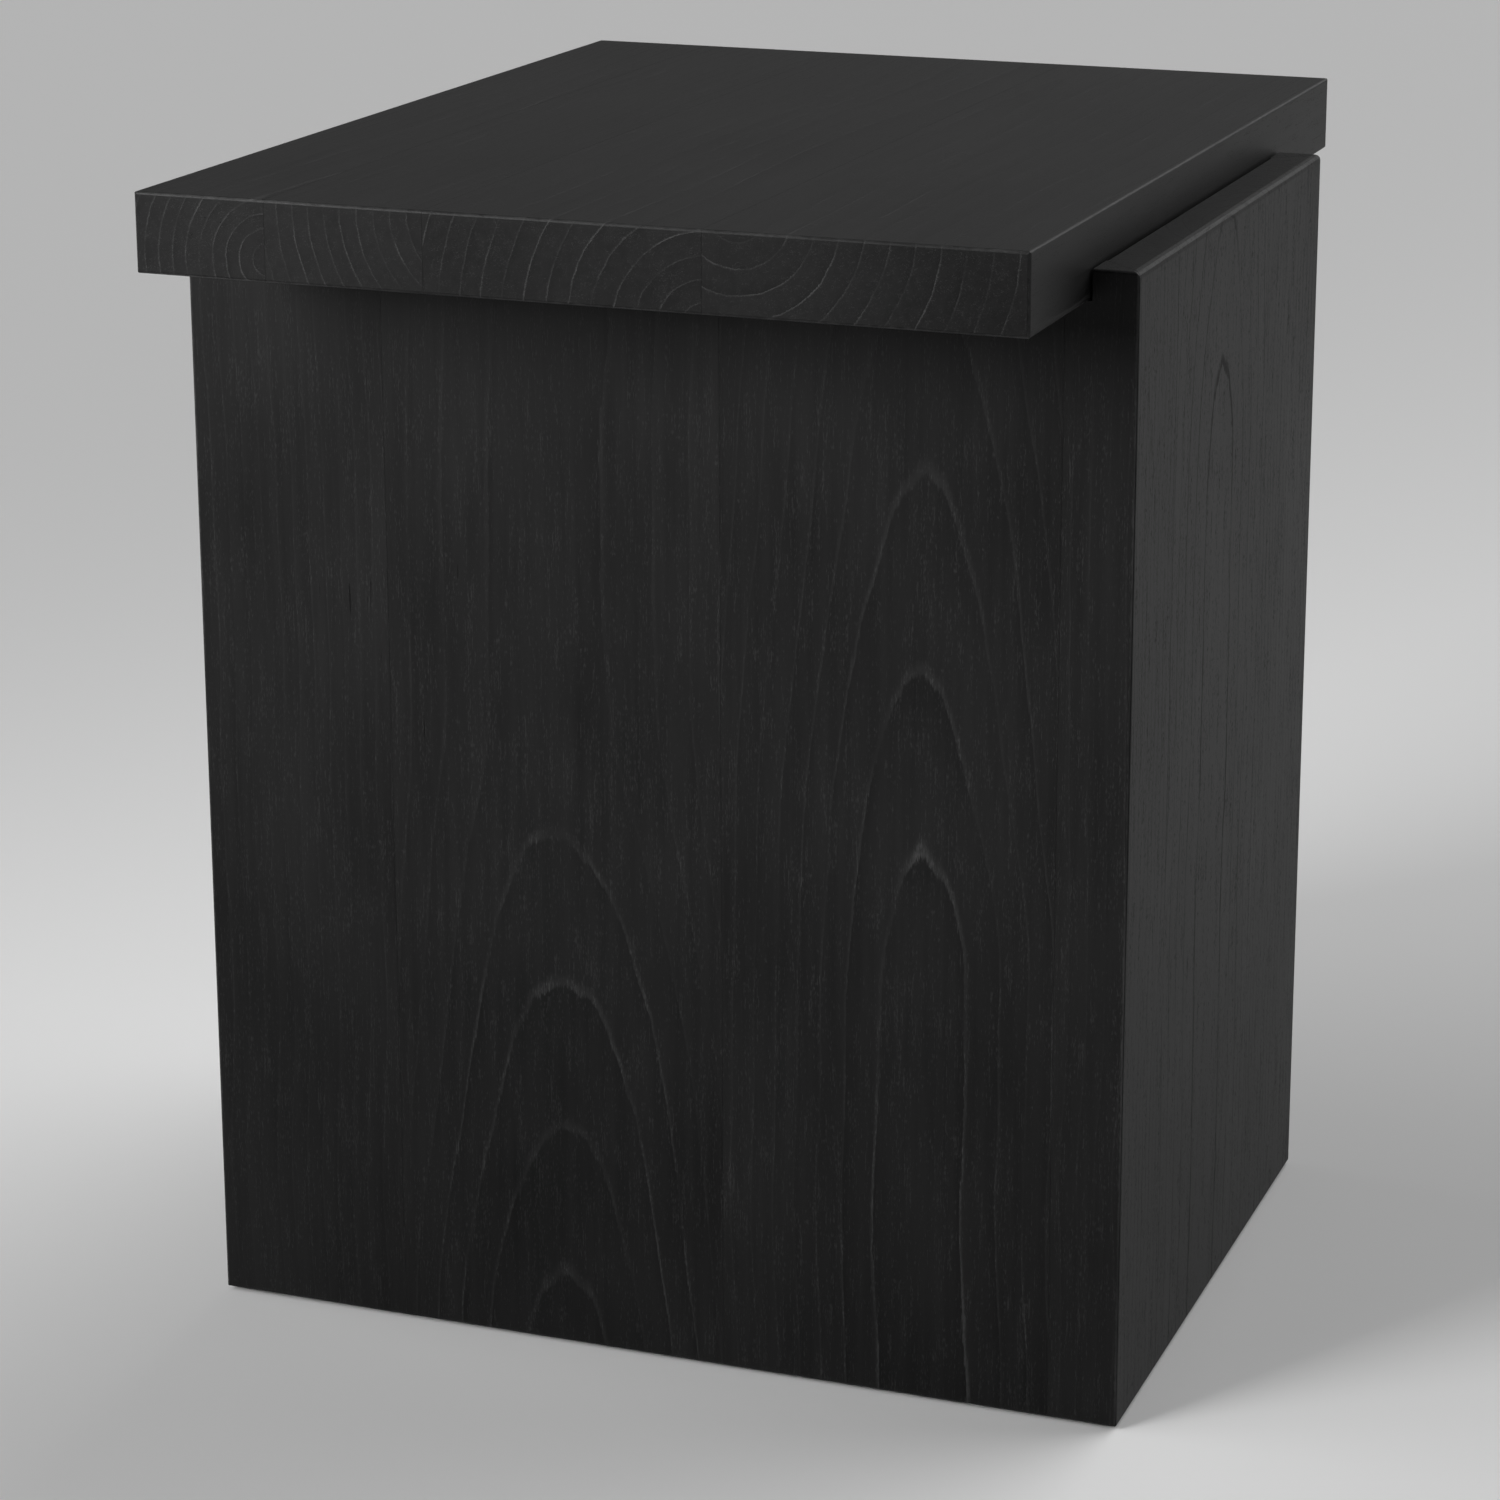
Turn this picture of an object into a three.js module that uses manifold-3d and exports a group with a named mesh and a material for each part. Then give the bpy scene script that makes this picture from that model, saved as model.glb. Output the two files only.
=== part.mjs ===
// A black-stained wooden box that stands on end like a stool or side table. Four mitred walls are
// notched at the front and back, so that the two sides stand proud as cheeks. A thick plank lid
// drops between the cheeks, runs past the box at the front and back, and lifts straight off.
// Millimetres, +Z up, +X to the right cheek, -Y to the front wall. The origin is on the floor, in
// the middle of the overall footprint.
import * as THREE from "three";
import { mergeVertices } from "three/addons/utils/BufferGeometryUtils.js";
import Module from "manifold-3d";

const wasm = await Module();
wasm.setup();

// Driving dimensions
const OVERALL_HEIGHT = 508;
const BOX_WIDTH = 411;
const BOX_DEPTH = 300;
const WALL = 19;
const CHEEK_RISE = 12.5; // how far the sides stand above the lid's underside
const LID_THICKNESS = 33;
const LID_FRONT_OVERHANG = 79;
const LID_BACK_OVERHANG = 96;
const LID_SIDE_CLEARANCE = 1;
const WALL_FLOOR_GAP = 1.5;

// Fits
const GLUE_LINE = 0.1; // between edge-glued boards
const CONTACT = 0.2; // between pieces that touch
const MITRE_GAP = 0.3;
const HOLE_CLEARANCE = 0.3; // round a screw or a nail
const BATTEN_CLEARANCE = 1.5; // batten to wall, so that the lid drops in easily

// Inner pieces
const POST = 22;
const POST_HEAD_ROOM = 7; // post top to batten
const RAIL = 20;
const RAIL_BASE = 6;
const PANEL_THICKNESS = 9;
const PANEL_CLEARANCE = 0.5;
const BATTEN_WIDTH = 40;
const BATTEN_DEPTH = 20;
const BATTEN_END_CLEARANCE = 3;
const GLIDE_RADIUS = 10;
const GLIDE_THICKNESS = 4;
const GLIDE_CHAMFER = 1;
const GLIDE_SIDES = 24;
const NAIL_RADIUS = 1.2;
const NAIL_LENGTH = 15;

// Countersunk wood screws
const SCREW_SHANK_RADIUS = 2;
const SCREW_HEAD_RADIUS = 4;
const SCREW_HEAD_DEPTH = 2.8;
const SCREW_TIP = 4;
const SCREW_SIDES = 12;
const POST_SCREW_LENGTH = 34;
const BATTEN_SCREW_LENGTH = 38;
const PANEL_SCREW_LENGTH = 25;
const HEAD_SINK = 0.4;
const SCREW_HEIGHTS = { wall: [95, 365], side: [145, 315] }; // up each post

// Eased edges
const ARRIS = 1.2;
const CHEEK_ARRIS = 3; // along the outer top edge of each cheek
const INNER_ARRIS = 0.8; // chamfer along the inner top edge of each cheek
const ARC_STEPS = 3; // facets in a rounded edge

// Modelling
const PAST = 1; // how far a cutting solid runs past the piece it cuts
const MERGE_DISTANCE = 1e-4; // vertices closer than this are one

// Boards across each glued-up panel, left to right or front to back, with their widths
const FRONT_BOARDS = { left_edge: 88, left: 149, right: 144, right_edge: 30 };
const BACK_BOARDS = { left: 128, middle: 146, right: 137 };
const LEFT_BOARDS = { front: 138, back: 162 };
const RIGHT_BOARDS = { front: 58, middle: 146, back: 96 };
const LID_BOARDS = { left: 57, middle_left: 68, middle_right: 116, right: 130 };

// Places worked out from the dimensions above
const LID_DEPTH = LID_FRONT_OVERHANG + BOX_DEPTH + LID_BACK_OVERHANG;
const LID_WIDTH = BOX_WIDTH - 2 * WALL - 2 * LID_SIDE_CLEARANCE;
const LID_BASE = OVERALL_HEIGHT - LID_THICKNESS;
const RIM = LID_BASE - CONTACT;
const CHEEK_TOP = LID_BASE + CHEEK_RISE;
const HALF_WIDTH = BOX_WIDTH / 2;
const FRONT = -LID_DEPTH / 2 + LID_FRONT_OVERHANG;
const BACK = FRONT + BOX_DEPTH;
const INNER_HALF_WIDTH = HALF_WIDTH - WALL;
const INNER_FRONT = FRONT + WALL;
const INNER_BACK = BACK - WALL;
const BATTEN_BASE = RIM - BATTEN_DEPTH;
const POST_TOP = BATTEN_BASE - POST_HEAD_ROOM;
const RAIL_TOP = RAIL_BASE + RAIL;
const PANEL_BASE = RAIL_TOP + CONTACT;
const PANEL_TOP = PANEL_BASE + PANEL_THICKNESS;

const wood = (color, roughness) =>
  new THREE.MeshStandardMaterial({ color, roughness, metalness: 0 });
const MATERIALS = {
  lid: wood(0x2b2b2b, 0.55),
  wall: wood(0x272727, 0.6),
  frame: wood(0x2e2d2c, 0.75),
  ply: wood(0x2a2928, 0.7),
  screw: new THREE.MeshStandardMaterial({ color: 0x8f8a78, roughness: 0.35, metalness: 1 }),
  glide: wood(0x3a3a3a, 0.5),
};

// --- solids and booleans ---------------------------------------------------------------------

function solidOf(geometry) {
  const bare = geometry.index ? geometry.toNonIndexed() : geometry.clone();
  bare.deleteAttribute("normal");
  bare.deleteAttribute("uv");
  const merged = mergeVertices(bare, MERGE_DISTANCE);
  return new wasm.Manifold(
    new wasm.Mesh({
      numProp: 3,
      vertProperties: merged.attributes.position.array,
      triVerts: new Uint32Array(merged.index.array),
    }),
  );
}

function geometryOf(solid) {
  const mesh = solid.getMesh();
  const positions = new Float32Array(mesh.numVert * 3);
  for (let i = 0; i < mesh.numVert; i++) {
    const start = i * mesh.numProp;
    positions.set(mesh.vertProperties.subarray(start, start + 3), i * 3);
  }
  const indexed = new THREE.BufferGeometry();
  indexed.setAttribute("position", new THREE.BufferAttribute(positions, 3));
  indexed.setIndex(new THREE.BufferAttribute(mesh.triVerts, 1));
  const flat = indexed.toNonIndexed();
  flat.computeVertexNormals();
  return flat;
}

const cut = (geometry, tools) =>
  geometryOf(tools.reduce((left, tool) => left.subtract(solidOf(tool)), solidOf(geometry)));

const meet = (geometry, envelope) => geometryOf(solidOf(geometry).intersect(envelope));

// A block between two corners.
function block(low, high) {
  const size = high.map((value, i) => value - low[i]);
  const middle = high.map((value, i) => (value + low[i]) / 2);
  return new THREE.BoxGeometry(...size).translate(...middle);
}

// A plan outline of [x, y] points, standing from base to top.
function upright(points, base, top) {
  const outline = new THREE.Shape(points.map(([x, y]) => new THREE.Vector2(x, y)));
  return new THREE.ExtrudeGeometry(outline, { depth: top - base, bevelEnabled: false }).translate(
    0,
    0,
    base,
  );
}

// A rectangle whose corners are quarter rounds. The radii start at the low corner and go round
// anticlockwise, and a radius of 0 leaves a square corner.
function roundedRectangle(low, high, radii) {
  const corners = [low, [high[0], low[1]], high, [low[0], high[1]]];
  const points = corners.flatMap(([x, y], i) => {
    const radius = radii[i];
    const centre = [x === low[0] ? x + radius : x - radius, y === low[1] ? y + radius : y - radius];
    const steps = radius ? ARC_STEPS : 0;
    return Array.from({ length: steps + 1 }, (_, step) => {
      const angle = Math.PI + ((i + (steps ? step / steps : 0)) * Math.PI) / 2;
      return new THREE.Vector2(
        centre[0] + radius * Math.cos(angle),
        centre[1] + radius * Math.sin(angle),
      );
    });
  });
  return new THREE.Shape(points);
}

const fourTimes = (radius) => [radius, radius, radius, radius];

// A block with eased edges: three prisms, one along each axis, that meet. radii[axis] is for the
// four edges along that axis, in the plane of the two axes that follow it.
function easedSolid(low, high, radii) {
  const directions = [
    new THREE.Vector3(1, 0, 0),
    new THREE.Vector3(0, 1, 0),
    new THREE.Vector3(0, 0, 1),
  ];
  const prisms = [0, 1, 2].map((axis) => {
    const [u, v] = [(axis + 1) % 3, (axis + 2) % 3];
    const outline = roundedRectangle([low[u], low[v]], [high[u], high[v]], radii[axis]);
    const depth = high[axis] - low[axis];
    const basis = new THREE.Matrix4().makeBasis(directions[u], directions[v], directions[axis]);
    const start = directions[axis].clone().multiplyScalar(low[axis]);
    return solidOf(
      new THREE.ExtrudeGeometry(outline, { depth, bevelEnabled: false })
        .applyMatrix4(basis)
        .translate(start.x, start.y, start.z),
    );
  });
  return prisms[0].intersect(prisms[1]).intersect(prisms[2]);
}

// --- the assembly ----------------------------------------------------------------------------

const appleBox = new THREE.Group();
appleBox.name = "apple_box";

function add(name, geometry, material) {
  const mesh = new THREE.Mesh(geometry, material);
  mesh.name = name;
  appleBox.add(mesh);
  return mesh;
}

// --- screws ----------------------------------------------------------------------------------

// A round profile along +Y, its pointed end at the origin and its head at +length. With growth
// it is the hole that the screw goes in.
function screwGeometry(length, growth = 0) {
  const shank = SCREW_SHANK_RADIUS + growth;
  const head = SCREW_HEAD_RADIUS + growth;
  const outline = [
    [0, -growth],
    [shank, SCREW_TIP],
    [shank, length - SCREW_HEAD_DEPTH],
    [head, length],
  ];
  if (growth) outline.push([head, length + HEAD_SINK + PAST]);
  outline.push([0, outline.at(-1)[1]]);
  return new THREE.LatheGeometry(
    outline.map(([x, y]) => new THREE.Vector2(x, y)),
    SCREW_SIDES,
  );
}

// Every screw is listed by where its head's face is and which way it drives.
const screws = [];

function screw(name, head, direction, length) {
  screws.push({ name, head, direction, length });
}

function placed(geometry, { head, direction, length }) {
  const drive = new THREE.Vector3(...direction);
  const sunk = new THREE.Vector3(...head).addScaledVector(drive, HEAD_SINK);
  const turn = new THREE.Quaternion().setFromUnitVectors(
    new THREE.Vector3(0, 1, 0),
    drive.clone().negate(),
  );
  const tip = sunk.addScaledVector(drive, length);
  return geometry.applyQuaternion(turn).translate(tip.x, tip.y, tip.z);
}

const screwHoles = (prefixes) =>
  screws
    .filter(({ name }) => prefixes.some((prefix) => name.startsWith(prefix)))
    .map((one) => placed(screwGeometry(one.length, HOLE_CLEARANCE), one));

// --- corners: posts with their screws and glides ---------------------------------------------

const CORNERS = [
  { name: "front_left", x: -1, y: -1 },
  { name: "front_right", x: 1, y: -1 },
  { name: "back_left", x: -1, y: 1 },
  { name: "back_right", x: 1, y: 1 },
];

// The post's outer corner, where it meets the inner faces of two walls.
function postCorner(corner) {
  return {
    x: corner.x * (INNER_HALF_WIDTH - CONTACT),
    y: corner.y < 0 ? INNER_FRONT + CONTACT : INNER_BACK - CONTACT,
  };
}

function listPostScrews(corner) {
  const outer = postCorner(corner);
  const inner = { x: outer.x - corner.x * POST, y: outer.y - corner.y * POST };
  const middle = { x: (outer.x + inner.x) / 2, y: (outer.y + inner.y) / 2 };
  SCREW_HEIGHTS.wall.forEach((z, i) => {
    const head = [middle.x, inner.y, z];
    screw(`screw_${corner.name}_wall_${i + 1}`, head, [0, corner.y, 0], POST_SCREW_LENGTH);
  });
  SCREW_HEIGHTS.side.forEach((z, i) => {
    const head = [inner.x, middle.y, z];
    screw(`screw_${corner.name}_side_${i + 1}`, head, [corner.x, 0, 0], POST_SCREW_LENGTH);
  });
}

// A nail-on glide under each post: a chamfered disc with its nail standing up into the post.
function glideOutline(growth = 0) {
  const nail = NAIL_RADIUS + growth;
  return [
    [0, 0],
    [GLIDE_RADIUS - GLIDE_CHAMFER, 0],
    [GLIDE_RADIUS, GLIDE_CHAMFER],
    [GLIDE_RADIUS, GLIDE_THICKNESS],
    [nail, GLIDE_THICKNESS],
    [nail, GLIDE_THICKNESS + NAIL_LENGTH + growth],
    [0, GLIDE_THICKNESS + NAIL_LENGTH + growth],
  ].map(([x, y]) => new THREE.Vector2(x, y));
}

function glideAt(x, y, growth) {
  return new THREE.LatheGeometry(glideOutline(growth), GLIDE_SIDES)
    .rotateX(Math.PI / 2)
    .translate(x, y, 0);
}

function addCorner(corner) {
  const outer = postCorner(corner);
  const inner = { x: outer.x - corner.x * POST, y: outer.y - corner.y * POST };
  const base = GLIDE_THICKNESS + CONTACT;
  const low = [Math.min(outer.x, inner.x), Math.min(outer.y, inner.y), base];
  const high = [Math.max(outer.x, inner.x), Math.max(outer.y, inner.y), POST_TOP];
  const foot = { x: (outer.x + inner.x) / 2, y: (outer.y + inner.y) / 2 };
  const holes = [...screwHoles([`screw_${corner.name}`]), glideAt(foot.x, foot.y, HOLE_CLEARANCE)];
  add(`post_${corner.name}`, cut(block(low, high), holes), MATERIALS.frame);
  add(`glide_${corner.name}`, glideAt(foot.x, foot.y, 0), MATERIALS.glide);
}

// --- walls -----------------------------------------------------------------------------------

// Where each board of a panel starts and ends along the panel.
function boardSpans(boards, start) {
  const names = Object.keys(boards);
  let at = start;
  return names.map((name, i) => {
    const first = i === 0;
    const last = i === names.length - 1;
    const from = at + (first ? 0 : GLUE_LINE / 2);
    at += boards[name];
    return { name, first, last, from, to: at - (last ? 0 : GLUE_LINE / 2) };
  });
}

// The outside of the four walls together, with every outer edge eased.
const wallEnvelope = easedSolid(
  [-HALF_WIDTH, FRONT, WALL_FLOOR_GAP],
  [HALF_WIDTH, BACK, CHEEK_TOP],
  [fourTimes(ARRIS), [ARRIS, CHEEK_ARRIS, CHEEK_ARRIS, ARRIS], fourTimes(ARRIS)],
);

// The front and back walls: mitred at both ends, and notched between the cheeks.
function addNotchedWall(side, boards) {
  const outer = side === "front" ? FRONT : BACK;
  const inner = side === "front" ? INNER_FRONT : INNER_BACK;
  const low = Math.min(outer, inner) - PAST;
  const high = Math.max(outer, inner) + PAST;
  const notch = block([-INNER_HALF_WIDTH, low, RIM], [INNER_HALF_WIDTH, high, CHEEK_TOP + PAST]);
  const holes = screwHoles([`screw_${side}_left_wall`, `screw_${side}_right_wall`]);
  for (const { name, first, last, from, to } of boardSpans(boards, -HALF_WIDTH)) {
    const outline = [
      [from, outer],
      [to, outer],
      [last ? to - WALL : to, inner],
      [first ? from + WALL : from, inner],
    ];
    const board = meet(upright(outline, WALL_FLOOR_GAP, CHEEK_TOP), wallEnvelope);
    add(`${side}_board_${name}`, cut(board, [notch, ...holes]), MATERIALS.wall);
  }
}

// The left and right sides: mitred at both ends, full height, so that their tops are the cheeks.
function addSide(side, boards) {
  const sign = side === "left" ? -1 : 1;
  const outer = sign * HALF_WIDTH;
  const inner = sign * INNER_HALF_WIDTH;
  const chamfer = new THREE.BoxGeometry(
    INNER_ARRIS * Math.SQRT2,
    BOX_DEPTH,
    INNER_ARRIS * Math.SQRT2,
  )
    .rotateY(Math.PI / 4)
    .translate(inner, FRONT + BOX_DEPTH / 2, CHEEK_TOP);
  const holes = screwHoles([`screw_front_${side}_side`, `screw_back_${side}_side`]);
  for (const { name, first, last, from, to } of boardSpans(boards, FRONT)) {
    const start = first ? from + MITRE_GAP : from;
    const end = last ? to - MITRE_GAP : to;
    const outline = [
      [outer, start],
      [outer, end],
      [inner, last ? end - WALL : end],
      [inner, first ? start + WALL : start],
    ];
    const board = meet(upright(outline, WALL_FLOOR_GAP, CHEEK_TOP), wallEnvelope);
    add(`${side}_board_${name}`, cut(board, [chamfer, ...holes]), MATERIALS.wall);
  }
}

// --- bottom: four rails and a panel notched round the posts ----------------------------------

const POST_REACH = POST + 2 * CONTACT; // wall face to the far side of a post, with its gaps

function railPlaces() {
  const halfLength = INNER_HALF_WIDTH - POST_REACH;
  const front = INNER_FRONT + CONTACT;
  const back = INNER_BACK - CONTACT;
  const side = INNER_HALF_WIDTH - CONTACT;
  const sideFrom = INNER_FRONT + POST_REACH;
  const sideTo = INNER_BACK - POST_REACH;
  return {
    front: [-halfLength, halfLength, front, front + RAIL],
    back: [-halfLength, halfLength, back - RAIL, back],
    left: [-side, -side + RAIL, sideFrom, sideTo],
    right: [side - RAIL, side, sideFrom, sideTo],
  };
}

function listPanelScrews() {
  for (const [name, [x0, x1, y0, y1]] of Object.entries(railPlaces())) {
    const head = [(x0 + x1) / 2, (y0 + y1) / 2, PANEL_TOP];
    screw(`screw_bottom_${name}`, head, [0, 0, -1], PANEL_SCREW_LENGTH);
  }
}

function addBottom() {
  for (const [name, [x0, x1, y0, y1]] of Object.entries(railPlaces())) {
    const rail = block([x0, y0, RAIL_BASE], [x1, y1, RAIL_TOP]);
    add(`bottom_rail_${name}`, cut(rail, screwHoles([`screw_bottom_${name}`])), MATERIALS.frame);
  }
  const x = INNER_HALF_WIDTH - PANEL_CLEARANCE;
  const y0 = INNER_FRONT + PANEL_CLEARANCE;
  const y1 = INNER_BACK - PANEL_CLEARANCE;
  const panel = block([-x, y0, PANEL_BASE], [x, y1, PANEL_TOP]);
  const notches = CORNERS.map((corner) => {
    const outer = { x: corner.x * (x + PAST), y: corner.y < 0 ? y0 - PAST : y1 + PAST };
    const reach = POST_REACH + PANEL_CLEARANCE;
    const inner = {
      x: corner.x * (INNER_HALF_WIDTH - reach),
      y: corner.y < 0 ? INNER_FRONT + reach : INNER_BACK - reach,
    };
    return block(
      [Math.min(outer.x, inner.x), Math.min(outer.y, inner.y), PANEL_BASE - PAST],
      [Math.max(outer.x, inner.x), Math.max(outer.y, inner.y), PANEL_TOP + PAST],
    );
  });
  const holes = screwHoles(["screw_bottom"]);
  add("bottom_panel", cut(panel, [...notches, ...holes]), MATERIALS.ply);
}

// --- lid: edge-glued boards on two battens ---------------------------------------------------

const lidBoards = boardSpans(LID_BOARDS, -LID_WIDTH / 2);
const BATTENS = {
  front: INNER_FRONT + BATTEN_CLEARANCE,
  back: INNER_BACK - BATTEN_CLEARANCE - BATTEN_WIDTH,
};

function listBattenScrews() {
  for (const [end, start] of Object.entries(BATTENS)) {
    for (const { name, from, to } of lidBoards) {
      const head = [(from + to) / 2, start + BATTEN_WIDTH / 2, BATTEN_BASE];
      screw(`screw_batten_${end}_${name}`, head, [0, 0, 1], BATTEN_SCREW_LENGTH);
    }
  }
}

function addLid() {
  const low = [-LID_WIDTH / 2, -LID_DEPTH / 2, LID_BASE];
  const high = [LID_WIDTH / 2, LID_DEPTH / 2, OVERALL_HEIGHT];
  const envelope = easedSolid(low, high, [fourTimes(ARRIS), fourTimes(ARRIS), fourTimes(ARRIS)]);
  for (const { name, from, to } of lidBoards) {
    const board = meet(block([from, low[1], low[2]], [to, high[1], high[2]]), envelope);
    const holes = screwHoles([`screw_batten_front_${name}`, `screw_batten_back_${name}`]);
    add(`lid_board_${name}`, cut(board, holes), MATERIALS.lid);
  }
  const half = INNER_HALF_WIDTH - BATTEN_END_CLEARANCE;
  for (const [end, start] of Object.entries(BATTENS)) {
    const batten = block([-half, start, BATTEN_BASE], [half, start + BATTEN_WIDTH, RIM]);
    add(`lid_batten_${end}`, cut(batten, screwHoles([`screw_batten_${end}`])), MATERIALS.frame);
  }
}

// --- build -----------------------------------------------------------------------------------

CORNERS.forEach(listPostScrews);
listPanelScrews();
listBattenScrews();

addNotchedWall("front", FRONT_BOARDS);
addNotchedWall("back", BACK_BOARDS);
addSide("left", LEFT_BOARDS);
addSide("right", RIGHT_BOARDS);
CORNERS.forEach(addCorner);
addBottom();
addLid();
for (const one of screws) {
  add(one.name, placed(screwGeometry(one.length), one), MATERIALS.screw);
}

export default appleBox;
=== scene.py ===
"""Looks of the black-stained wooden box with its lift-off plank lid. Metres, in the frame of the
CAD model."""

import math
from dataclasses import asdict, dataclass

import bmesh
import bpy
from mathutils import Matrix, Vector


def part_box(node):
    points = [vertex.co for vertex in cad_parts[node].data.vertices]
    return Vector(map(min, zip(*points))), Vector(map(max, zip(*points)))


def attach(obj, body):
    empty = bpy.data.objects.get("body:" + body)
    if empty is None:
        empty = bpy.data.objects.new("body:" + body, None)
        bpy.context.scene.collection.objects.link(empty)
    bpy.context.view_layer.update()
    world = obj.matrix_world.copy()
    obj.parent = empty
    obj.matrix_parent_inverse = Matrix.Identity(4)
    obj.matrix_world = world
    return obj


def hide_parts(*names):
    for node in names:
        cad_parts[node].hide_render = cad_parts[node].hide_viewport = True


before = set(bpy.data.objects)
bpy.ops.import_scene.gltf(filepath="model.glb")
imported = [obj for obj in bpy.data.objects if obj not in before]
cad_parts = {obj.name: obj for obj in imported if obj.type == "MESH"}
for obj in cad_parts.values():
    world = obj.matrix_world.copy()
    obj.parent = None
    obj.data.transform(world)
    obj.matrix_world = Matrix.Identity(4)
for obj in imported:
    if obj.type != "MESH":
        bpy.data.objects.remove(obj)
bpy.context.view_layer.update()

MM = 0.001
X, Y, Z = 0, 1, 2
BOARD_EDGE = 35  # degrees: edges of a board that turn by more are shaded sharp
TURNED_EDGE = 30  # the same for a turned piece


# --- shader graph helper -------------------------------------------------------------------------


class Graph:
    """Short spelling for shader nodes: each call adds one node and gives back its output socket."""

    def __init__(self, tree):
        self.tree = tree

    def put(self, socket, value):
        if isinstance(value, bpy.types.NodeSocket):
            self.tree.links.new(value, socket)
        else:
            socket.default_value = value

    def node(self, kind, inputs=None, **settings):
        node = self.tree.nodes.new(kind)
        for name, value in settings.items():
            setattr(node, name, value)
        for name, value in (inputs or {}).items():
            self.put(node.inputs[name], value)
        return node

    def math(self, operation, *values):
        node = self.node("ShaderNodeMath", operation=operation)
        for i, value in enumerate(values):
            self.put(node.inputs[i], value)
        return node.outputs[0]

    def vector(self, operation, *values):
        node = self.node("ShaderNodeVectorMath", operation=operation)
        for i, value in enumerate(values):
            self.put(node.inputs[i], value)
        return node.outputs["Vector"]

    def parts(self, vector):
        return self.node("ShaderNodeSeparateXYZ", {0: vector}).outputs

    def noise(self, vector, scale, detail=1.0, roughness=0.5):
        """3-D noise about 0, within roughly -0.5 to 0.5. scale is waves per metre along each axis."""
        stretched = self.vector("MULTIPLY", vector, scale)
        inputs = {"Vector": stretched, "Scale": 1.0, "Detail": detail, "Roughness": roughness}
        node = self.node("ShaderNodeTexNoise", inputs)
        return self.math("SUBTRACT", node.outputs[0], 0.5)

    def step(self, value, low, high):
        """0 below low, 1 above high, smooth between. With high under low it falls."""
        inputs = {"Value": value, "From Min": low, "From Max": high}
        node = self.node("ShaderNodeMapRange", inputs, interpolation_type="SMOOTHSTEP")
        return node.outputs["Result"]

    def between(self, low, high, share):
        """low where share is 0, high where it is 1."""
        return self.math("MULTIPLY_ADD", share, high - low, low)

    def bump(self, height, distance):
        inputs = {"Height": height, "Distance": distance, "Strength": 1.0}
        return self.node("ShaderNodeBump", inputs).outputs[0]

    def grey(self, value):
        return self.node("ShaderNodeCombineColor", {0: value, 1: value, 2: value}).outputs[0]


def new_group(name, inputs, outputs):
    """A node group with its sockets. inputs maps each name to whether it is a vector."""
    group = bpy.data.node_groups.new(name, "ShaderNodeTree")
    for socket, is_vector in inputs.items():
        kind = "NodeSocketVector" if is_vector else "NodeSocketFloat"
        group.interface.new_socket(socket, in_out="INPUT", socket_type=kind)
    for socket in outputs:
        group.interface.new_socket(socket, in_out="OUTPUT", socket_type="NodeSocketFloat")
    return group


def close_group(group, **results):
    out = group.nodes.new("NodeGroupOutput")
    for name, socket in results.items():
        group.links.new(socket, out.inputs[name])


def new_material(name):
    """A material, its graph and its shader."""
    material = bpy.data.materials.new(name)
    material.use_nodes = True
    tree = material.node_tree
    return material, Graph(tree), tree.nodes["Principled BSDF"]


# --- solid wood ----------------------------------------------------------------------------------


@dataclass
class Board:
    """How one board was sawn. across, along and deep are the frame's axes (0 X, 1 Y, 2 Z) for the
    board's width, its grain and its thickness. The heart of the tree is a line near the board:
    heart_across is its place across the width, heart_deep its place through the thickness."""

    across: int
    along: int
    deep: int
    heart_across: float
    heart_deep: float
    lean: float = 0.0  # how fast the heart leaves the face, per metre along the grain
    knee: float = 0.0  # where along the grain the lean starts
    reach: float = 0.6  # how far the lean goes on
    spacing: float = 8 * MM
    first_ring: float = 0.0
    clear_rings: float = 30.0  # how many rings, counted from the first, show clearly
    seed: float = 0.0


# The numbers of a Board that the wood's node group takes, each by its own name.
SAWN = (
    "heart_across", "heart_deep", "lean", "knee", "reach",
    "spacing", "first_ring", "clear_rings", "seed",
)
SEED_STEP = 7.31  # metres from one seed's place in the noise to the next one's
HEART_WANDER = 14 * MM
BEND = 0.05  # metres over which a heart turns into its lean and out of it
# How the rings waver: waves per metre across and along the grain, detail, and reach.
WAVERS = (
    (18.0, 5.0, 2.0, 4 * MM),  # broadly, over a hand's breadth
    (150.0, 22.0, 2.0, 1.1 * MM),
    (1400.0, 110.0, 1.0, 0.7 * MM),  # finely, from fibre to fibre
)


def heart_distance(g, given, grain):
    """How far a place is from the heart of the tree, which wanders from side to side and leans
    away from the face, from the knee on."""
    across, along, deep = g.parts(given["board"])[:3]
    bow = g.math("SMOOTH_MAX", g.math("SUBTRACT", along, given["knee"]), 0.0, BEND)
    bow = g.math("SMOOTH_MIN", bow, given["reach"], BEND)
    heart_deep = g.math("MULTIPLY_ADD", bow, given["lean"], given["heart_deep"])
    wander = grain(0.5, 6.0)
    heart_across = g.math("MULTIPLY_ADD", wander, HEART_WANDER, given["heart_across"])
    side = g.math("SUBTRACT", across, heart_across)
    back = g.math("SUBTRACT", deep, heart_deep)
    squares = g.math("ADD", g.math("MULTIPLY", side, side), g.math("MULTIPLY", back, back))
    return g.math("SQRT", squares)


def years(g, given, grain):
    """The years that a place grew after the first ring, with a fraction."""
    radius = heart_distance(g, given, grain)
    for fine, drawn, detail, reach in WAVERS:
        radius = g.math("MULTIPLY_ADD", grain(fine, drawn, detail), reach, radius)
    return g.math("DIVIDE", g.math("SUBTRACT", radius, given["first_ring"]), given["spacing"])


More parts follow.
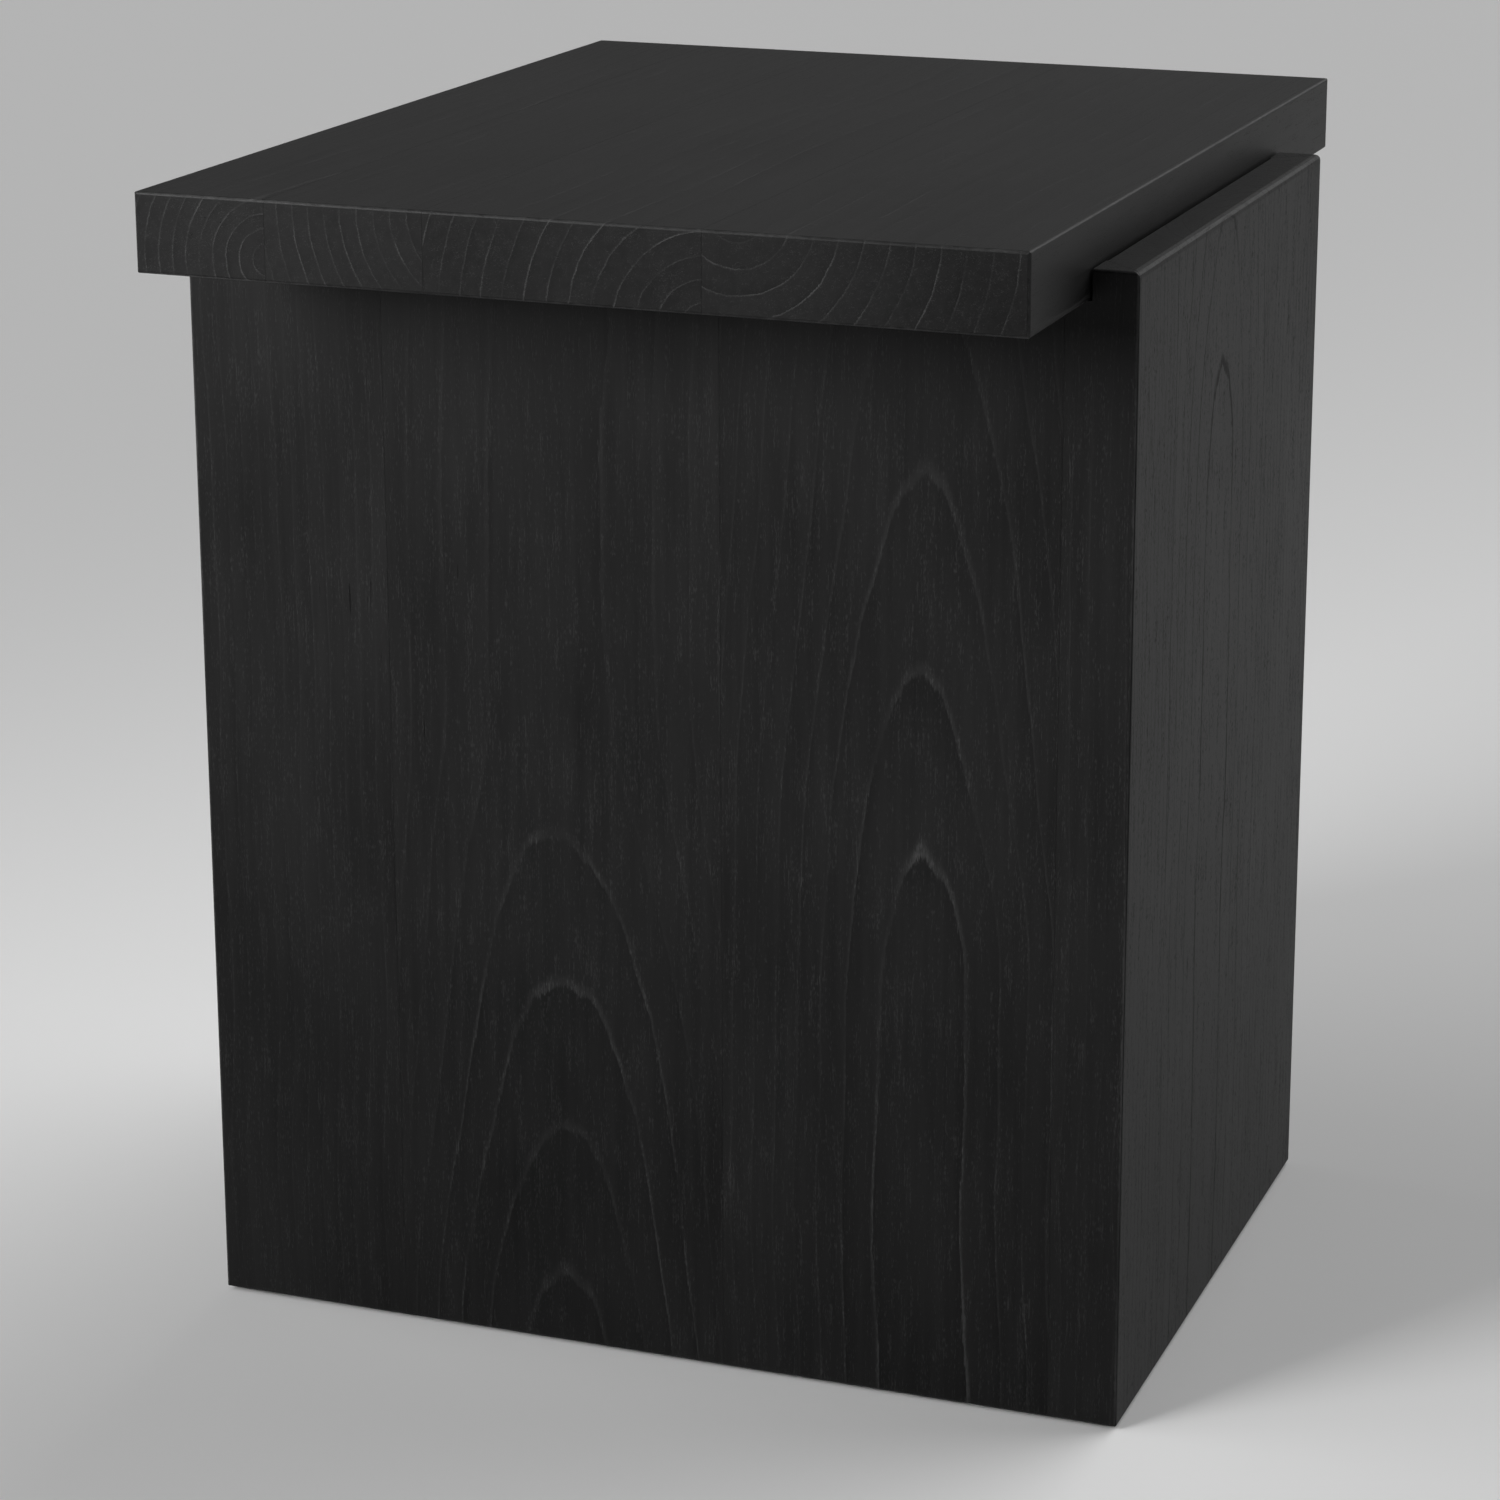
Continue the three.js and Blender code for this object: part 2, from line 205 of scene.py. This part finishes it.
def clearness(g, given, grain, turns):
    """Some years leave a clearer ring than others, and each comes and goes along the board."""
    year = g.math("FLOOR", turns)
    draw = {"W": g.math("ADD", year, given["seed"])}
    luck = g.node("ShaderNodeTexWhiteNoise", draw, noise_dimensions="1D").outputs["Value"]
    past = g.math("SUBTRACT", year, given["clear_rings"])
    clear = g.between(0.4, 1.0, g.step(past, 0.5, -0.5))
    clear = g.math("MULTIPLY", clear, g.between(0.5, 1.1, luck))
    patchy = g.step(grain(70.0, 12.0, 2.0), -0.2, 0.18)
    return g.math("MULTIPLY", clear, g.between(0.25, 1.0, patchy))


def early_wood(g, given, turns, clear):
    """A thin band of large pores that starts sharply at each ring and fades outwards."""
    from_ring = g.math("MULTIPLY", g.math("FRACT", turns), given["spacing"])
    fades = g.step(from_ring, 0.9 * MM, 0.25 * MM)
    starts = g.step(from_ring, 0.0, 0.12 * MM)
    return g.math("MULTIPLY", g.math("MULTIPLY", fades, starts), clear)


def late_wood(g, turns, clear):
    """The densest and darkest wood of a year, just before the next ring."""
    age = g.math("FRACT", turns)
    return g.math("MULTIPLY", g.math("POWER", age, 4.0), clear)


def pores(g, grain, band):
    """The pores all over the wood, and the rings that they crowd into in the early wood. They are
    strokes along the grain and dots on the end grain."""
    short = grain(2000.0, 430.0, 2.0)
    long = grain(1900.0, 75.0)
    stroke = g.math("MULTIPLY_ADD", long, 0.5, g.math("MULTIPLY", short, 0.75))
    crowd = grain(300.0, 40.0, 2.0)
    pore = g.step(g.math("MULTIPLY_ADD", crowd, 0.35, stroke), 0.06, 0.22)
    vessels = g.step(g.math("MULTIPLY_ADD", band, 0.2, stroke), 0.0, 0.2)
    return pore, g.math("MULTIPLY", band, g.between(0.45, 1.0, vessels))


def slow_figure(g, grain):
    """Slow changes of tone across and along the board."""
    streak = grain(240.0, 7.0, 3.0, 0.6)
    cloud = grain(14.0, 8.0, 2.0)
    return g.math("MULTIPLY_ADD", cloud, 1.5, streak)


def checks(g, grain):
    """Short dark splits, in a few places only."""
    split = grain(700.0, 40.0)
    where = grain(12.0, 9.0)
    return g.math("MULTIPLY", g.step(split, 0.24, 0.3), g.step(where, 0.1, 0.2))


def solid_wood_group():
    """Growth rings round a wandering heart, and pores drawn out along the grain. board is the
    place on the board as (across, along, deep) in metres."""
    inputs = {"board": True} | dict.fromkeys(SAWN, False)
    group = new_group("solid_wood", inputs, ("Ring", "Pore", "Late", "Figure", "Check"))
    g = Graph(group)
    given = g.node("NodeGroupInput").outputs
    shift = g.math("MULTIPLY", given["seed"], SEED_STEP)
    own = g.node("ShaderNodeCombineXYZ", {0: shift, 1: shift}).outputs[0]
    moved = g.vector("ADD", given["board"], own)

    def grain(fine, drawn, detail=1.0, roughness=0.5):
        """Noise with fine waves per metre across the grain and drawn waves along it, read at the
        board's own place, so that no two boards match."""
        return g.noise(moved, (fine, drawn, fine), detail, roughness)

    turns = years(g, given, grain)
    clear = clearness(g, given, grain, turns)
    pore, ring = pores(g, grain, early_wood(g, given, turns, clear))
    late = late_wood(g, turns, clear)
    figure = slow_figure(g, grain)
    close_group(group, Ring=ring, Pore=pore, Late=late, Figure=figure, Check=checks(g, grain))
    return group


def edge_wear_and_highlight_group():
    """How rubbed the finish is, with a painted highlight along the edges on top of the rubbing:
    from 1 on the edges of the box between Low and High to 0 a little way in. The edge nearest a
    point of the box's surface lies at the middle one of its distances to the three pairs of faces."""
    group = new_group("edge_wear_and_highlight", {"Place": True, "Low": True, "High": True}, ("Wear",))
    g = Graph(group)
    given = g.node("NodeGroupInput").outputs
    inside_low = g.vector("SUBTRACT", given["Place"], given["Low"])
    inside_high = g.vector("SUBTRACT", given["High"], given["Place"])
    x, y, z = g.parts(g.vector("MINIMUM", inside_low, inside_high))[:3]
    middle = g.math(
        "MAXIMUM", g.math("MINIMUM", x, y), g.math("MINIMUM", g.math("MAXIMUM", x, y), z)
    )
    ragged = g.noise(given["Place"], (300.0, 300.0, 300.0), detail=3.0)
    handled = g.noise(given["Place"], (15.0, 15.0, 15.0), detail=2.0)
    from_edge = g.math("MULTIPLY_ADD", ragged, 1.2 * MM, middle)
    # lighter on the edges: rubbed stain, and a painted highlight
    wear_and_highlight = g.step(from_edge, 1.1 * MM, 0.2 * MM)
    wear_and_highlight = g.math("MULTIPLY", wear_and_highlight, g.between(0.3, 1.0, g.step(handled, -0.25, 0.25)))
    close_group(group, Wear=wear_and_highlight)
    return group


SOLID_WOOD = solid_wood_group()
# rubbed edges, which also carry a painted highlight
EDGE_WEAR_AND_HIGHLIGHT = edge_wear_and_highlight_group()


@dataclass
class Finish:
    """How a wood surface was finished. The tones are shares of light sent back."""

    ground: float = 0.0085
    pore_tone: float = 0.014  # added to ground in the pores
    ring_tone: float = 0.026  # added on the rings
    end_ring: float = 0.7  # how much clearer rings are on end grain
    end_ground: float = 0.85  # end grain drinks more stain
    wear_and_highlight_tone: float = 0.03  # added where the edges are rubbed, and as a painted highlight along them
    roughness: float = 0.46
    dull: float = 0.37  # added to roughness in the pores
    relief: float = 0.08 * MM
    specular: float = 0.13


STAINED = Finish()
PLANED = Finish(pore_tone=0.009, ring_tone=0.02, dull=0.15, relief=0.04 * MM)
THIN_COAT = Finish(
    ground=0.03, pore_tone=-0.012, ring_tone=-0.015, wear_and_highlight_tone=0.05, roughness=0.7, relief=0.12 * MM
)


def board_wood(g, board, place):
    """The outputs of the wood's node group for one board."""
    xyz = g.parts(place)
    turned_place = {0: xyz[board.across], 1: xyz[board.along], 2: xyz[board.deep]}
    numbers = asdict(board)
    inputs = {name: numbers[name] for name in SAWN}
    inputs["board"] = g.node("ShaderNodeCombineXYZ", turned_place).outputs[0]
    return g.node("ShaderNodeGroup", inputs, node_tree=SOLID_WOOD).outputs[:5]


def stain_tone(g, finish, wood, wear_and_highlight, end):
    """Black stain, thinner on the pores and rings, and lighter along the edges, where it is rubbed
    through and a highlight is painted.
    """
    ring, pore, late, figure, check = wood
    ring_tone = g.math("MULTIPLY_ADD", end, finish.ring_tone * finish.end_ring, finish.ring_tone)
    tone = g.math("MULTIPLY_ADD", figure, finish.ground * 0.9, finish.ground)
    tone = g.math("MULTIPLY", tone, g.between(1.0, 0.55, late))
    tone = g.math("MULTIPLY", tone, g.between(1.0, finish.end_ground, end))
    tone = g.math("MULTIPLY_ADD", pore, finish.pore_tone, tone)
    tone = g.math("MULTIPLY_ADD", ring, ring_tone, tone)
    # painted highlight along the edges, together with the rubbed-through stain
    tone = g.math("MULTIPLY_ADD", wear_and_highlight, finish.wear_and_highlight_tone, tone)
    return g.math("MULTIPLY", tone, g.between(1.0, 0.15, check))


def sheen(g, finish, wood):
    """Smooth between the pores and dull in them."""
    ring, pore, _, figure, _ = wood
    dull = g.math("MINIMUM", g.math("MULTIPLY_ADD", ring, 2.5, pore), 1.0)
    roughness = g.math("MULTIPLY_ADD", dull, finish.dull, finish.roughness)
    return g.math("MULTIPLY_ADD", figure, 0.06, roughness)


def relief(g, finish, wood):
    """Open pores and checks below the surface."""
    ring, pore, _, figure, check = wood
    height = g.math("MULTIPLY_ADD", pore, -0.6, g.math("MULTIPLY", ring, -0.3))
    height = g.math("MULTIPLY_ADD", check, -2.0, height)
    height = g.math("MULTIPLY_ADD", figure, 0.25, height)
    return g.bump(height, finish.relief)


def wood_material(name, board, wear_and_highlight_box, finish):
    """Stained wood. The given box, as its lowest and highest corner, has rubbed edges
    with a painted highlight along them.
    """
    material, g, shader = new_material(name)
    coordinates = g.node("ShaderNodeTexCoord").outputs
    place = coordinates["Object"]
    wood = board_wood(g, board, place)
    edges = {"Place": place, "Low": wear_and_highlight_box[0], "High": wear_and_highlight_box[1]}
    # rubbed edges with a painted highlight along them
    wear_and_highlight = g.node("ShaderNodeGroup", edges, node_tree=EDGE_WEAR_AND_HIGHLIGHT).outputs["Wear"]
    facing_grain = g.math("ABSOLUTE", g.parts(coordinates["Normal"])[board.along])
    end = g.step(facing_grain, 0.6, 0.9)
    g.put(shader.inputs["Base Color"], g.grey(stain_tone(g, finish, wood, wear_and_highlight, end)))
    g.put(shader.inputs["Roughness"], sheen(g, finish, wood))
    g.put(shader.inputs["Normal"], relief(g, finish, wood))
    shader.inputs["Specular IOR Level"].default_value = finish.specular
    return material


def smooth(mesh, edge):
    """Smooth shading, except across edges that turn by more than edge degrees."""
    for polygon in mesh.polygons:
        polygon.use_smooth = True
    mesh.set_sharp_from_angle(angle=math.radians(edge))


def dress(node, material):
    """Gives a CAD node its material, and smooth shading across its rounded edges only."""
    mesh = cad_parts[node].data
    mesh.materials.clear()
    mesh.materials.append(material)
    smooth(mesh, BOARD_EDGE)


def nodes_like(*starts):
    return [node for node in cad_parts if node.startswith(starts)]


def box_round(nodes):
    """The lowest and highest corner of several nodes together."""
    boxes = [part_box(node) for node in nodes]
    low = Vector(min(box[0][axis] for box in boxes) for axis in range(3))
    high = Vector(max(box[1][axis] for box in boxes) for axis in range(3))
    return low, high


# --- the boards ----------------------------------------------------------------------------------

FRONT_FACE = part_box("front_board_left")[0].y
BACK_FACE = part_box("back_board_left")[1].y
LEFT_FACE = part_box("left_board_front")[0].x
RIGHT_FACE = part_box("right_board_front")[1].x
LID_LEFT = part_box("lid_board_left")[0].x
LID_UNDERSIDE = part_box("lid_board_left")[0].z


def wall_board(across, face, out, heart, depth, **how):
    """A board with upright grain in a wall whose outer face is at face and looks along out (1 or
    -1). The tree's heart is depth in front of that face."""
    deep = Y if across == X else X
    if "lean" in how:
        how["lean"] *= out
    return Board(across, Z, deep, heart, face + out * depth, **how)


def front_board(from_left, depth, **how):
    return wall_board(X, FRONT_FACE, -1, LEFT_FACE + from_left, depth, **how)


def back_board(from_left, depth, **how):
    return wall_board(X, BACK_FACE, 1, LEFT_FACE + from_left, depth, **how)


def left_board(from_front, depth, **how):
    return wall_board(Y, LEFT_FACE, -1, FRONT_FACE + from_front, depth, **how)


def right_board(from_front, depth, **how):
    return wall_board(Y, RIGHT_FACE, 1, FRONT_FACE + from_front, depth, **how)


def lid_board(from_left, up, **how):
    """A lid board, its grain running front to back."""
    return Board(X, Y, Z, LID_LEFT + from_left, LID_UNDERSIDE + up, **how)


BOARDS = {
    "front_board_left_edge": front_board(-150 * MM, 60 * MM, spacing=7 * MM, clear_rings=0, seed=1),
    "front_board_left": front_board(
        163 * MM, 56 * MM, lean=0.12, reach=0.265, first_ring=59.7 * MM, clear_rings=3, seed=22
    ),
    "front_board_right": front_board(
        325 * MM, 41 * MM, lean=0.1, knee=0.2, first_ring=44.7 * MM, clear_rings=2, seed=3
    ),
    "front_board_right_edge": front_board(500 * MM, 50 * MM, spacing=7 * MM, clear_rings=0, seed=4),
    "back_board_left": back_board(60 * MM, 45 * MM, lean=0.09, knee=0.1, spacing=9 * MM, seed=5),
    "back_board_middle": back_board(230 * MM, 60 * MM, lean=0.12, knee=0.25, seed=6),
    "back_board_right": back_board(490 * MM, 40 * MM, spacing=7 * MM, seed=7),
    "left_board_front": left_board(-60 * MM, 50 * MM, spacing=6 * MM, seed=8),
    "left_board_back": left_board(220 * MM, 48 * MM, lean=0.1, knee=0.15, spacing=8 * MM, seed=9),
    "right_board_front": right_board(-120 * MM, 60 * MM, spacing=5 * MM, clear_rings=0, seed=10),
    "right_board_middle": right_board(
        132 * MM, 56 * MM, lean=0.13, knee=0.4, first_ring=59.5 * MM, clear_rings=1, seed=11
    ),
    "right_board_back": right_board(390 * MM, 70 * MM, spacing=5 * MM, clear_rings=0, seed=12),
}
LID_BOARDS = {
    "lid_board_left": lid_board(61 * MM, 9 * MM, lean=0.02, spacing=6 * MM, seed=13),
    "lid_board_middle_left": lid_board(148 * MM, 31 * MM, lean=0.02, spacing=7 * MM, seed=14),
    "lid_board_middle_right": lid_board(
        243 * MM, -7 * MM, lean=-0.02, spacing=9 * MM, first_ring=57 * MM, seed=15
    ),
    "lid_board_right": lid_board(
        257 * MM, 41 * MM, lean=0.02, spacing=10 * MM, first_ring=52 * MM, seed=16
    ),
}


FRAMING_SEED = 20  # the first piece of framing has it, and the others count on from it


def dress_boards():
    for node, board in BOARDS.items():
        wall = node.split("_")[0]
        # the edges of this wall's box are rubbed and carry a painted highlight
        wear_and_highlight_box = box_round(nodes_like(f"{wall}_board"))
        dress(node, wood_material(f"wood_{node}", board, wear_and_highlight_box, STAINED))
    lid = box_round(LID_BOARDS)
    for node, board in LID_BOARDS.items():
        dress(node, wood_material(f"wood_{node}", board, lid, PLANED))


def dress_framing():
    """The posts, rails, battens and bottom: the same wood as sawn, with a thin coat of stain."""
    for seed, node in enumerate(nodes_like("post", "bottom", "lid_batten"), start=FRAMING_SEED):
        low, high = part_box(node)
        size = high - low
        along = max(range(3), key=lambda axis: size[axis])
        across, deep = (axis for axis in range(3) if axis != along)
        heart = low - size
        board = Board(across, along, deep, heart[across], heart[deep], spacing=5 * MM, seed=seed)
        dress(node, wood_material(f"wood_{node}", board, (low, high), THIN_COAT))


dress_boards()
dress_framing()


# --- screws and glides ---------------------------------------------------------------------------


def metal_material(name, tone, roughness):
    """Bright zinc: fine turning marks, and a bloom that comes and goes."""
    material, g, shader = new_material(name)
    place = g.node("ShaderNodeTexCoord").outputs["Object"]
    bloom = g.noise(place, (700.0, 700.0, 700.0), detail=4.0)
    marks = g.noise(place, (300.0, 300.0, 9000.0), detail=2.0)
    g.put(shader.inputs["Base Color"], g.grey(g.math("MULTIPLY_ADD", bloom, 0.3, tone)))
    g.put(shader.inputs["Roughness"], g.math("MULTIPLY_ADD", bloom, 0.35, roughness))
    shader.inputs["Metallic"].default_value = 1.0
    g.put(shader.inputs["Normal"], g.bump(marks, 0.02 * MM))
    return material


def nylon_material(name, tone, roughness):
    """Moulded black nylon with a fine spark-eroded grain and dust in its scuffs."""
    material, g, shader = new_material(name)
    place = g.node("ShaderNodeTexCoord").outputs["Object"]
    grain = g.noise(place, (3500.0, 3500.0, 3500.0), detail=2.0)
    scuff = g.step(g.noise(place, (200.0, 900.0, 200.0), detail=3.0), 0.08, 0.2)
    g.put(shader.inputs["Base Color"], g.grey(g.math("MULTIPLY_ADD", scuff, 0.03, tone)))
    g.put(shader.inputs["Roughness"], g.math("MULTIPLY_ADD", scuff, 0.2, roughness))
    g.put(shader.inputs["Normal"], g.bump(grain, 0.03 * MM))
    return material


def closed(form, name):
    """The mesh of a finished bmesh, its faces all looking outwards."""
    bmesh.ops.recalc_face_normals(form, faces=form.faces)
    mesh = bpy.data.meshes.new(name)
    form.to_mesh(mesh)
    form.free()
    return mesh


def turned(name, profile, sides=48):
    """A lathe mesh about +Z. profile is (radius, height) points from the axis and back to it."""
    form = bmesh.new()
    angles = [2 * math.pi * k / sides for k in range(sides)]
    rows = []
    for radius, height in profile[1:-1]:
        circle = [(radius * math.cos(a), radius * math.sin(a), height) for a in angles]
        rows.append([form.verts.new(point) for point in circle])
    for low, high in zip(rows, rows[1:]):
        for k in range(sides):
            form.faces.new((low[k], low[(k + 1) % sides], high[(k + 1) % sides], high[k]))
    for row, (_, height), step in ((rows[0], profile[0], -1), (rows[-1], profile[-1], 1)):
        tip = form.verts.new((0, 0, height))
        for k in range(sides):
            form.faces.new((tip, row[k], row[(k + step) % sides]))
    return closed(form, name)


BOX_MIDDLE = sum(box_round(BOARDS), Vector()) / 2
SHANK = 2.0 * MM  # radii of the screws
CORE = 1.4 * MM
HEAD = 4.0 * MM
HEAD_DEPTH = 2.8 * MM
HEAD_ROUND = 0.25 * MM
RIM_TOP = -0.15 * MM
RIM_FOOT = -0.35 * MM
NECK = 4.0 * MM  # smooth shank under the head
POINT = 4.0 * MM
PITCH = 1.8 * MM
CROSS_ARM = 2.1 * MM
CROSS_HALF = 0.5 * MM  # half an arm's width
CROSS_TOP = 0.5 * MM
CROSS_FOOT = -2.0 * MM
CROSS_TAPER = 0.4


def cross_cutter():
    """The driver's cross: four arms that narrow downwards, from just above the head."""
    arm = ((CROSS_ARM, -CROSS_HALF, 0), (CROSS_ARM, CROSS_HALF, 0), (CROSS_HALF, CROSS_HALF, 0))
    corners = []
    for quarter in range(4):
        turn = Matrix.Rotation(quarter * math.pi / 2, 3, "Z")
        corners += [turn @ Vector(p) for p in arm]
    form = bmesh.new()
    upper = [form.verts.new((p.x, p.y, CROSS_TOP)) for p in corners]
    lower = [form.verts.new((p.x * CROSS_TAPER, p.y * CROSS_TAPER, CROSS_FOOT)) for p in corners]
    form.faces.new(upper)
    form.faces.new(reversed(lower))
    for k in range(len(corners)):
        after = (k + 1) % len(corners)
        form.faces.new((lower[k], lower[after], upper[after], upper[k]))
    return closed(form, "cross_cutter")


def carved(mesh, cutter):
    """mesh with cutter taken away from it."""
    whole = bpy.data.objects.new("whole", mesh)
    tool = bpy.data.objects.new("tool", cutter)
    for thing in (whole, tool):
        bpy.context.scene.collection.objects.link(thing)
    cut = whole.modifiers.new("cut", "BOOLEAN")
    cut.operation = "DIFFERENCE"
    cut.object = tool
    ready = whole.evaluated_get(bpy.context.evaluated_depsgraph_get())
    result = bpy.data.meshes.new_from_object(ready)
    for thing in (whole, tool):
        bpy.data.objects.remove(thing)
    return result


def screw_mesh(length):
    """A countersunk wood screw along -Z, its head's flat top at the origin."""
    neck = HEAD_DEPTH + NECK
    profile = [(0, 0), (HEAD - HEAD_ROUND, 0), (HEAD, RIM_TOP), (HEAD, RIM_FOOT)]
    profile += [(SHANK, -HEAD_DEPTH), (SHANK, -neck)]
    threads = int((length - neck - POINT) / PITCH)
    for thread in range(threads):
        top = -neck - thread * PITCH
        profile += [(CORE, top - 0.5 * PITCH), (SHANK, top - 0.9 * PITCH), (SHANK, top - PITCH)]
    profile += [(CORE, POINT - length), (0, -length)]
    mesh = carved(turned(f"screw_{round(length / MM)}", profile, sides=32), cross_cutter())
    mesh.materials.clear()
    mesh.materials.append(ZINC)
    smooth(mesh, TURNED_EDGE)
    return mesh


def glide_mesh(low, high):
    """A nail-on glide: a rounded disc under a thin nail, its foot's middle at the origin."""
    radius = (high.x - low.x) / 2
    tall = high.z - low.z
    thick = 4 * MM
    nail = 1.2 * MM
    corner = 1.5 * MM
    arc = [math.radians(angle) for angle in range(-90, 1, 15)]
    profile = [(0, 0.3 * MM), (3 * MM, 0.3 * MM), (3.5 * MM, 0)]
    profile += [(radius - corner + corner * math.cos(a), corner + corner * math.sin(a)) for a in arc]
    profile += [(radius, thick), (nail, thick), (nail, tall - 2 * nail), (0, tall)]
    mesh = turned("glide", profile)
    mesh.materials.append(NYLON)
    smooth(mesh, TURNED_EDGE)
    return mesh


SCREW_TURN = 1.1  # radians from one screw's cross to the next one's


def place_piece(name, mesh, where, body, node):
    piece = bpy.data.objects.new(name, mesh)
    piece.matrix_world = where
    bpy.context.scene.collection.objects.link(piece)
    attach(piece, body)
    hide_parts(node)


def head_of(low, high):
    """Where a screw's head is, which way its point looks, and its length. Every screw is driven
    from inside the box, so its head is the end nearer the box's middle."""
    size = high - low
    axis = max(range(3), key=lambda k: size[k])
    head = (low + high) / 2
    outwards = 1 if head[axis] > BOX_MIDDLE[axis] else -1
    head[axis] -= outwards * size[axis] / 2
    point = Vector((0, 0, 0))
    point[axis] = outwards
    return head, point, size[axis]


def add_screws():
    meshes = {}
    for number, node in enumerate(nodes_like("screw")):
        head, point, length = head_of(*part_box(node))
        size = round(length / MM)
        if size not in meshes:
            meshes[size] = screw_mesh(length)
        body = "lid" if node.startswith("screw_batten") else "box"
        aim = (-point).to_track_quat("Z", "Y").to_matrix().to_4x4()
        turn = Matrix.Rotation(number * SCREW_TURN, 4, "Z")
        where = Matrix.Translation(head) @ aim @ turn
        place_piece(f"turned_{node}", meshes[size], where, body, node)


def add_glides():
    mesh = glide_mesh(*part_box("glide_front_left"))
    for node in nodes_like("glide"):
        low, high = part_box(node)
        foot = Vector(((low.x + high.x) / 2, (low.y + high.y) / 2, low.z))
        place_piece(f"turned_{node}", mesh, Matrix.Translation(foot), "box", node)


ZINC = metal_material("zinc", 0.5, 0.35)
NYLON = nylon_material("nylon", 0.02, 0.42)
add_screws()
add_glides()


# --- stage ---------------------------------------------------------------------------------------

CAMERA_PLACE = (0.628, -1.687, 0.790)
CAMERA_TURN = (19.19, 14.91, 0.25)  # yaw, pitch and roll in degrees
CAMERA_LENS = 100.4
CAMERA_SHIFT = (-0.08, -0.12)
SENSOR = 36
SOFT_SUN = 60  # degrees across
FLOOR_REACH = 12.0


def plain_material(name, tone, roughness):
    material, _, shader = new_material(name)
    shader.inputs["Base Color"].default_value = (tone, tone, tone, 1)
    shader.inputs["Roughness"].default_value = roughness
    return material


def add_floor():
    mesh = bpy.data.meshes.new("floor")
    sides = ((-1, -1), (1, -1), (1, 1), (-1, 1))
    corners = [(x * FLOOR_REACH, y * FLOOR_REACH, 0) for x, y in sides]
    mesh.from_pydata(corners, [], [(0, 1, 2, 3)])
    floor = bpy.data.objects.new("floor", mesh)
    floor.data.materials.append(plain_material("floor_paper", 0.8, 0.9))
    bpy.context.scene.collection.objects.link(floor)


def add_light(name, kind, power, toward, place=(0, 0, 2)):
    """A light that shines along toward. Its place means nothing for a sun."""
    data = bpy.data.lights.new(name, kind)
    data.energy = power
    light = bpy.data.objects.new(name, data)
    light.location = place
    light.rotation_euler = Vector(toward).to_track_quat("-Z", "Y").to_euler()
    bpy.context.scene.collection.objects.link(light)
    return data


def add_sun(name, toward, power):
    add_light(name, "SUN", power, toward).angle = math.radians(SOFT_SUN)


def add_panel_light(name, place, target, size, power, spread):
    """A square light of side size at place, aimed at target. spread is its beam in degrees."""
    light = add_light(name, "AREA", power, Vector(target) - Vector(place), place)
    light.size = size
    light.spread = math.radians(spread)


def add_world(dim, glow):
    """A dim room with a glowing backdrop behind the box."""
    world = bpy.data.worlds.new("studio")
    world.use_nodes = True
    g = Graph(world.node_tree)
    looking = g.node("ShaderNodeTexCoord").outputs["Generated"]
    backdrop = g.step(g.parts(looking)[Y], 0.2, 0.9)
    background = world.node_tree.nodes["Background"]
    background.inputs["Color"].default_value = (1, 1, 1, 1)
    g.put(background.inputs["Strength"], g.math("MULTIPLY_ADD", backdrop, glow, dim))
    bpy.context.scene.world = world


def add_camera():
    """Stands a little to the right of the front and above the lid. The shift and the small roll
    are the framing's own."""
    data = bpy.data.cameras.new("camera")
    data.sensor_width = SENSOR
    data.lens = CAMERA_LENS
    data.shift_x, data.shift_y = CAMERA_SHIFT
    camera = bpy.data.objects.new("camera", data)
    yaw, pitch, roll = (math.radians(angle) for angle in CAMERA_TURN)
    camera.matrix_world = (
        Matrix.Translation(CAMERA_PLACE)
        @ Matrix.Rotation(yaw, 4, "Z")
        @ Matrix.Rotation(math.pi / 2 - pitch, 4, "X")
        @ Matrix.Rotation(roll, 4, "Z")
    )
    bpy.context.scene.collection.objects.link(camera)
    bpy.context.scene.camera = camera


add_camera()
add_floor()
add_world(dim=0.03, glow=0.18)
add_sun("sun_front_left", toward=(1.5, 0.7, -1.5), power=0.7)
add_sun("sun_back_right", toward=(-0.8, -1.2, -1.2), power=1.75)
add_panel_light(
    "panel_front", (-1.1, -1.5, 1.1), target=(-0.15, -0.15, 0.68), size=0.9, power=5.9, spread=55
)
add_panel_light(
    "panel_left", (-1.2, -0.4, 1.0), target=(-0.2, -0.1, 0.4), size=0.8, power=2.5, spread=180
)
bpy.context.scene.view_settings.view_transform = "Standard"
